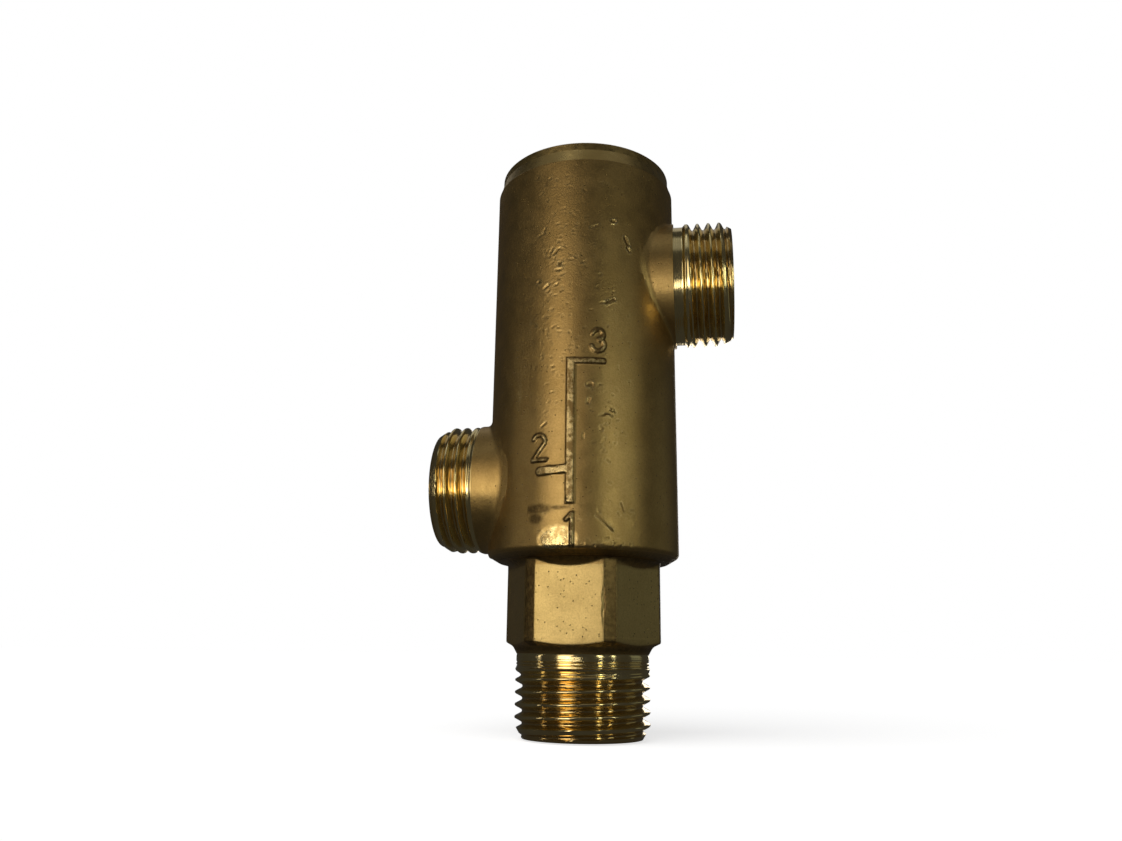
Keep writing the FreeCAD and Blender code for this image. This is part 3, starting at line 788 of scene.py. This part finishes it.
def turned_metal(name, pale, deep, rough, axis, thread_height=None):
    """Metal with the fine rings of a lathe tool; a thread whose axis lies at thread_height gets painted shade in its
    roots.
    """
    material, tree, shader, place = new_material(name)
    split = tree.nodes.new("ShaderNodeSeparateXYZ")
    tree.links.new(place, split.inputs["Vector"])
    rings = tree.nodes.new("ShaderNodeTexNoise")
    rings.noise_dimensions = "1D"
    rings.inputs["Scale"].default_value = 4200
    rings.inputs["Detail"].default_value = 3
    tree.links.new(split.outputs[axis], rings.inputs["W"])
    colour = mixed(tree, mapped(tree, noise(tree, place, 240, 5), 0.3, 0.7, 0, 1), deep, pale)
    if thread_height is not None:
        across = tree.nodes.new("ShaderNodeVectorMath")
        across.operation = "MULTIPLY_ADD"
        across.inputs[1].default_value = (1, 1, 0) if axis == "Z" else (0, 1, 1)
        across.inputs[2].default_value = (0, 0, -thread_height * mm)
        tree.links.new(place, across.inputs[0])
        length = tree.nodes.new("ShaderNodeVectorMath")
        length.operation = "LENGTH"
        tree.links.new(across.outputs["Vector"], length.inputs[0])
        # Painted shade: the thread is darkened towards its roots, by distance from its axis.
        low = (thread_radius - thread_depth + 0.05) * mm
        root_shade = mapped(tree, length.outputs["Value"], low, low + 0.7 * mm, 0.5, 0)
        colour = mixed(tree, root_shade, colour, root_shade_colour)
    tree.links.new(colour, shader.inputs["Base Color"])
    shader.inputs["Metallic"].default_value = 1.0
    gloss = mapped(tree, noise(tree, place, 900, 4), 0.3, 0.7, rough * 0.75, rough * 1.3)
    tree.links.new(gloss, shader.inputs["Roughness"])
    bump(tree, shader, rings.outputs["Fac"], ring_depth)
    return material


def plain(name, colour, rough, metallic=0.0):
    """Rubber, plastic, steel or wax with a slight grain."""
    material, tree, shader, place = new_material(name)
    darker = tuple(value * 0.8 for value in colour)
    clouds = mapped(tree, noise(tree, place, 300), 0.3, 0.7, 0, 1)
    tree.links.new(mixed(tree, clouds, darker, colour), shader.inputs["Base Color"])
    shader.inputs["Metallic"].default_value = metallic
    gloss = mapped(tree, noise(tree, place, 700), 0.3, 0.7, rough * 0.85, rough * 1.15)
    tree.links.new(gloss, shader.inputs["Roughness"])
    bump(tree, shader, noise(tree, place, 3000), plain_grain_depth)
    return material


# depths of bumps, in metres
pit_depth = 0.00005
ring_depth = 0.000012
plain_grain_depth = 0.00001
# Bright colour of worn metal and of painted glints; dark colour of stains and of painted shade.
wear_and_glint_colour = (0.86, 0.68, 0.32)
dirt_and_shade_colour = (0.05, 0.032, 0.014)
rubbed_colour = (0.2, 0.13, 0.05)
# Colour of the painted shade in thread roots.
root_shade_colour = (0.5, 0.3, 0.09)

forged_brass = brass(
    "forged_brass", pale=(0.62, 0.42, 0.155), deep=(0.5, 0.33, 0.112), speck=(0.4, 0.26, 0.08),
    rough=(0.35, 0.45), grain=3800, grain_depth=0.00003, coarse_depth=0.00003, pit_share=0.1)
milled_brass = brass(
    "milled_brass", pale=(0.72, 0.53, 0.21), deep=(0.64, 0.465, 0.178), speck=(0.46, 0.33, 0.11),
    rough=(0.38, 0.44), grain=3200, grain_depth=0.000015, coarse_depth=0.000008, pit_share=0.22)
thread_brass = turned_metal("thread_brass", (0.96, 0.79, 0.4), (0.88, 0.66, 0.28), 0.14, "Z", thread_height=0)
side_thread_2 = turned_metal("side_thread_2", (0.96, 0.8, 0.4), (0.9, 0.7, 0.3), 0.17, "X", thread_height=port_2_z)
side_thread_3 = turned_metal("side_thread_3", (0.96, 0.8, 0.4), (0.9, 0.7, 0.3), 0.17, "X", thread_height=port_3_z)
turned_brass = turned_metal("turned_brass", (0.66, 0.48, 0.18), (0.54, 0.38, 0.13), 0.32, "Z")
inner_brass = turned_metal("inner_brass", (0.8, 0.6, 0.28), (0.66, 0.48, 0.2), 0.28, "Z")
copper = turned_metal("copper", (0.78, 0.4, 0.24), (0.62, 0.28, 0.16), 0.3, "Z")
spring_steel = plain("spring_steel", (0.6, 0.6, 0.58), 0.25, 1.0)
ground_steel = plain("ground_steel", (0.7, 0.7, 0.7), 0.15, 1.0)
shuttle_plastic = plain("shuttle_plastic", (0.045, 0.045, 0.048), 0.45)
slide_plastic = plain("slide_plastic", (0.82, 0.82, 0.8), 0.4)
seal_rubber = plain("seal_rubber", (0.022, 0.022, 0.022), 0.55)
wax = plain("wax", (0.62, 0.42, 0.22), 0.6)


def paint_body(forging):
    """Gives each face of the forging its finish: forged skin, milled flats, or turned metal."""
    forging.data.materials.clear()
    for material in (forged_brass, milled_brass, thread_brass, side_thread_2, side_thread_3, turned_brass):
        forging.data.materials.append(material)
    milled, thread_1, thread_2, thread_3, turned = range(1, 6)
    for face in forging.data.polygons:
        x, y, z = face.center / mm
        normal = face.normal
        radius = hypot(x, y)
        outward = (normal.x * x + normal.y * y) / max(radius, 0.1)
        side = (degrees(atan2(x, -y)) - hexagon_turn + 30) % 60 - 30
        on_flat = abs(side) < flat_half_angle and abs(normal.z) < 0.3 and outward > 0
        in_bore = outward < -0.3 or (radius < main_bore_radius and z > shoulder_z + 2)
        if z < foot_low:
            face.material_index = thread_1
        elif x < -boss_2_end:
            face.material_index = thread_2
        elif x > boss_3_end:
            face.material_index = thread_3
        elif z > turned_band_z or in_bore:
            face.material_index = turned
        elif on_flat and z < flat_top_z + 0.1:
            face.material_index = milled


def paint_wear_and_light(forging):
    """Writes a colour layer over the forging: stains, a dark line along the marks, and painted shade in the nicks, in
    the fillet under the shoulder, on the underside of the foot and on the turned corners of the hexagon (red); worn
    bright metal and painted glints round the nicks (green); and the tops of the marks (blue).
    """
    count = len(forging.data.vertices)
    points = np.empty(count * 3)
    forging.data.vertices.foreach_get("co", points)
    x, y, z = points.reshape(-1, 3).T / mm
    u = np.arctan2(x, -y) * body_radius
    radius = np.hypot(x, y)
    on_skin = (radius > body_radius - 0.5) & (radius < body_radius + 0.5) & (z > shoulder_z + 1.5) & (y < 0)
    away = distance_to_marks(u, z)
    # A dark line is painted along the foot of each raised mark.
    dirt_and_shade = 0.95 * np.exp(-((away - 0.07) / 0.13) ** 2)
    wear_and_glint = np.zeros(count)
    tops = ease(-away / 0.12)
    # Painted shade inside each nick and a painted glint round its rim.
    for dent in dents():
        off = distance_to_dent(u, z, dent) / dent[4]
        dirt_and_shade = np.maximum(dirt_and_shade, 3.6 * dent[5] * ease(1.15 - off))
        wear_and_glint = np.maximum(wear_and_glint, 5 * dent[5] * np.exp(-((off - 1.3) / 0.35) ** 2))
    for stain in stains:
        dirt_and_shade = np.maximum(dirt_and_shade, 0.75 * patch(u, z, *stain, 0.8))
    wear_and_glint = np.maximum(wear_and_glint, patch(u, z, *worn_patch, 0.4))
    # Painted shade: a dark band in the fillet under the shoulder, another on the underside of the foot, and the turned
    # corners of the hexagon darkened.
    outside = radius > hexagon_half_flats
    in_shoulder = np.exp(-((z - shoulder_z - 0.6) / 0.9) ** 2) * (radius < body_radius - 0.35) * outside
    in_foot = np.exp(-((z - foot_low - 0.7) / 0.6) ** 2) * (radius > neck_radius - 0.3)
    off_corner = 30 - np.abs((np.degrees(u / body_radius) - hexagon_turn + 30) % 60 - 30)
    on_corner = 0.7 * (off_corner < 4.6) * (z > foot_high - 0.6) * (z < shoulder_z + 0.6) * outside
    shaded = np.maximum(0.7 * in_shoulder + 0.6 * in_foot, on_corner)
    wear_and_light = np.zeros((count, 4))
    wear_and_light[:, 0] = np.where(on_skin, dirt_and_shade, shaded)
    wear_and_light[:, 1] = np.where(on_skin, wear_and_glint, 0)
    wear_and_light[:, 2] = np.where(on_skin, tops, 0)
    wear_and_light[:, 3] = 1
    layer = forging.data.color_attributes.new("wear_and_light", "FLOAT_COLOR", "POINT")
    layer.data.foreach_set("color", np.clip(wear_and_light, 0, 1).ravel())


def crease(forging):
    """Keeps the edge between two finishes sharp."""
    finishes = {}
    for face in forging.data.polygons:
        for edge in face.edge_keys:
            finishes.setdefault(edge, []).append(face)
    for edge in forging.data.edges:
        faces = finishes.get(edge.key, ())
        if len(faces) == 2 and faces[0].material_index != faces[1].material_index:
            if faces[0].normal.dot(faces[1].normal) < cos(radians(6)):
                edge.use_edge_sharp = True


def paint(node, material):
    """Puts a material on a CAD node, in place of its plain one."""
    node.data.materials.clear()
    node.data.materials.append(material)


slot_materials = {
    "forged_brass": forged_brass,
    "turned_brass": turned_brass,
    "inner_brass": inner_brass,
    "copper": copper,
    "spring_steel": spring_steel,
    "ground_steel": ground_steel,
    "shuttle_plastic": shuttle_plastic,
    "slide_plastic": slide_plastic,
    "seal_rubber": seal_rubber,
    "wax": wax,
}
for subpart in frame["record"]["subparts"]:
    paint(nodes[subpart["node"]], slot_materials[subpart["material_slot"]])
    nodes[subpart["node"]].data.shade_smooth()
    nodes[subpart["node"]].data.set_sharp_from_angle(angle=radians(30))

forged_body = make_forged_body()
paint_body(forged_body)
crease(forged_body)
paint_wear_and_light(forged_body)
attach(forged_body, "root")
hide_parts("valve_body")


def flex_springs():
    """Puts a copy in place of each coil spring that a joint lists as deforming, and hides the CAD spring."""
    for joint in frame["record"]["behaviour"]["joints"]:
        for flexing in joint["deforming_nodes"]:
            node = flexing["node"]
            coil = bpy.data.objects.new(node + "_coil", nodes[node].data.copy())
            bpy.context.scene.collection.objects.link(coil)
            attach(coil, "root")
            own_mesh(coil)
            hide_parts(node)


flex_springs()


# ---------------------------------------------------------------- studio
def make_camera():
    yaw = Matrix.Rotation(radians(camera_yaw), 4, "Z")
    pitch_up = Matrix.Rotation(radians(camera_pitch), 4, "X")
    roll = Matrix.Rotation(radians(camera_roll), 4, "Y")
    upright = Matrix.Rotation(radians(90), 4, "X")
    data = bpy.data.cameras.new("camera")
    data.lens = camera_lens
    data.sensor_width = 36.0
    data.clip_start = 0.01
    data.clip_end = 20.0
    camera = bpy.data.objects.new("camera", data)
    bpy.context.scene.collection.objects.link(camera)
    camera.matrix_world = Matrix.Translation(Vector(camera_place) * mm) @ yaw @ pitch_up @ roll @ upright
    bpy.context.scene.camera = camera


def surroundings(tree, shown):
    """White as the camera sees it; metal and clear pieces mirror that white at the level of a dim room."""
    path = tree.nodes.new("ShaderNodeLightPath")
    mirrored = tree.nodes.new("ShaderNodeMath")
    mirrored.operation = "MAXIMUM"
    tree.links.new(path.outputs["Is Glossy Ray"], mirrored.inputs[0])
    tree.links.new(path.outputs["Is Transmission Ray"], mirrored.inputs[1])
    level = tree.nodes.new("ShaderNodeMapRange")
    level.inputs["To Min"].default_value = spill_level
    level.inputs["To Max"].default_value = room_level
    tree.links.new(mirrored.outputs["Value"], level.inputs["Value"])
    white = tree.nodes.new("ShaderNodeMapRange")
    white.inputs["To Max"].default_value = shown
    tree.links.new(path.outputs["Is Camera Ray"], white.inputs["Value"])
    tree.links.new(level.outputs["Result"], white.inputs["To Min"])
    return white.outputs["Result"], path.outputs["Is Camera Ray"]


def make_floor():
    """Pale floor that keeps the shadow of the valve, and the lamp that casts it."""
    mesh = bpy.data.meshes.new("floor")
    grid = bmesh.new()
    bmesh.ops.create_grid(grid, x_segments=1, y_segments=1, size=20.0)
    grid.to_mesh(mesh)
    grid.free()
    floor = bpy.data.objects.new("floor", mesh)
    floor.location.z = -0.0002
    bpy.context.scene.collection.objects.link(floor)
    material = bpy.data.materials.new("floor")
    material.use_nodes = True
    tree = material.node_tree
    tree.nodes.clear()
    level, seen = surroundings(tree, 1.03 - floor_lamp_share)
    glow = tree.nodes.new("ShaderNodeEmission")
    tree.links.new(level, glow.inputs["Strength"])
    lit = tree.nodes.new("ShaderNodeBsdfDiffuse")
    lit.inputs["Color"].default_value = (floor_colour, floor_colour, floor_colour, 1)
    both = tree.nodes.new("ShaderNodeAddShader")
    choice = tree.nodes.new("ShaderNodeMixShader")
    output = tree.nodes.new("ShaderNodeOutputMaterial")
    tree.links.new(lit.outputs["BSDF"], both.inputs[0])
    tree.links.new(glow.outputs["Emission"], both.inputs[1])
    tree.links.new(seen, choice.inputs["Fac"])
    tree.links.new(glow.outputs["Emission"], choice.inputs[1])
    tree.links.new(both.outputs["Shader"], choice.inputs[2])
    tree.links.new(choice.outputs["Shader"], output.inputs["Surface"])
    mesh.materials.append(material)

    data = bpy.data.lights.new("floor_lamp", "SUN")
    data.energy = floor_lamp_share * pi / floor_colour
    data.angle = radians(50)
    lamp = bpy.data.objects.new("floor_lamp", data)
    lamp.rotation_euler = (radians(28), radians(-14), 0)
    bpy.context.scene.collection.objects.link(lamp)
    floor_only = bpy.data.collections.new("floor_only")
    floor_only.objects.link(floor)
    lamp.light_linking.receiver_collection = floor_only


def make_world():
    world = bpy.data.worlds.new("studio")
    bpy.context.scene.world = world
    world.use_nodes = True
    tree = world.node_tree
    tree.nodes.clear()
    room = tree.nodes.new("ShaderNodeBackground")
    room.inputs["Color"].default_value = (1, 1, 1, 1)
    tree.links.new(surroundings(tree, 1)[0], room.inputs["Strength"])
    output = tree.nodes.new("ShaderNodeOutputWorld")
    tree.links.new(room.outputs["Background"], output.inputs["Surface"])


def spare_floor(lamp):
    """Hides a lamp from the camera and keeps its light off the floor."""
    lamp.visible_camera = False
    others = bpy.data.collections.new(lamp.name + "_receivers")
    others.objects.link(bpy.data.objects["floor"])
    lamp.light_linking.receiver_collection = others
    others.collection_objects[0].light_linking.link_state = "EXCLUDE"


def softbox(name, azimuth, distance, low, high, half_angle, radiance, colour):
    """Upright soft lamp round the valve, between two heights; azimuth 0 is in front, 90 at +X."""
    width = 2 * distance * tan(radians(half_angle)) * mm
    height = (high - low) * mm
    data = bpy.data.lights.new(name, "AREA")
    data.shape = "RECTANGLE"
    data.size = width
    data.size_y = height
    data.energy = radiance * width * height * pi
    data.color = colour
    lamp = bpy.data.objects.new(name, data)
    bpy.context.scene.collection.objects.link(lamp)
    spare_floor(lamp)
    toward = Vector((sin(radians(azimuth)), -cos(radians(azimuth)), 0))
    lamp.location = toward * distance * mm + Vector((0, 0, (low + high) / 2 * mm))
    lamp.rotation_mode = "QUATERNION"
    lamp.rotation_quaternion = toward.to_track_quat("Z", "Y")


def slanted_lamp(name, azimuth, elevation, width, height, radiance):
    """Lamp high above the top edge, aimed at it; its sizes are in metres."""
    data = bpy.data.lights.new(name, "AREA")
    data.shape = "RECTANGLE"
    data.size = width
    data.size_y = height
    data.energy = radiance * width * height * pi
    lamp = bpy.data.objects.new(name, data)
    bpy.context.scene.collection.objects.link(lamp)
    spare_floor(lamp)
    turn, rise = radians(azimuth), radians(elevation)
    toward = Vector((sin(turn) * cos(rise), -cos(turn) * cos(rise), sin(rise)))
    lamp.location = toward * slanted_distance + Vector((0, 0, body_top * mm))
    lamp.rotation_mode = "QUATERNION"
    lamp.rotation_quaternion = toward.to_track_quat("Z", "Y")


def table_glow():
    """Soft light from low in front, as off a table top; it lies flat just above the floor."""
    data = bpy.data.lights.new("table_glow", "AREA")
    data.shape = "RECTANGLE"
    data.size, data.size_y = glow_size
    data.energy = glow_radiance * data.size * data.size_y * pi
    data.color = (1.0, 0.94, 0.84)
    lamp = bpy.data.objects.new("table_glow", data)
    bpy.context.scene.collection.objects.link(lamp)
    spare_floor(lamp)
    turn = radians(glow_azimuth)
    lamp.location = (glow_distance * sin(turn), -glow_distance * cos(turn), 0.0005)
    lamp.rotation_euler = (pi, 0, turn)


def light_studio():
    for lamp in softboxes:
        softbox(*lamp)
    for lamp in slanted_lamps:
        slanted_lamp(*lamp)
    table_glow()


make_camera()
make_floor()
make_world()
light_studio()
bpy.context.scene.view_settings.view_transform = "Standard"
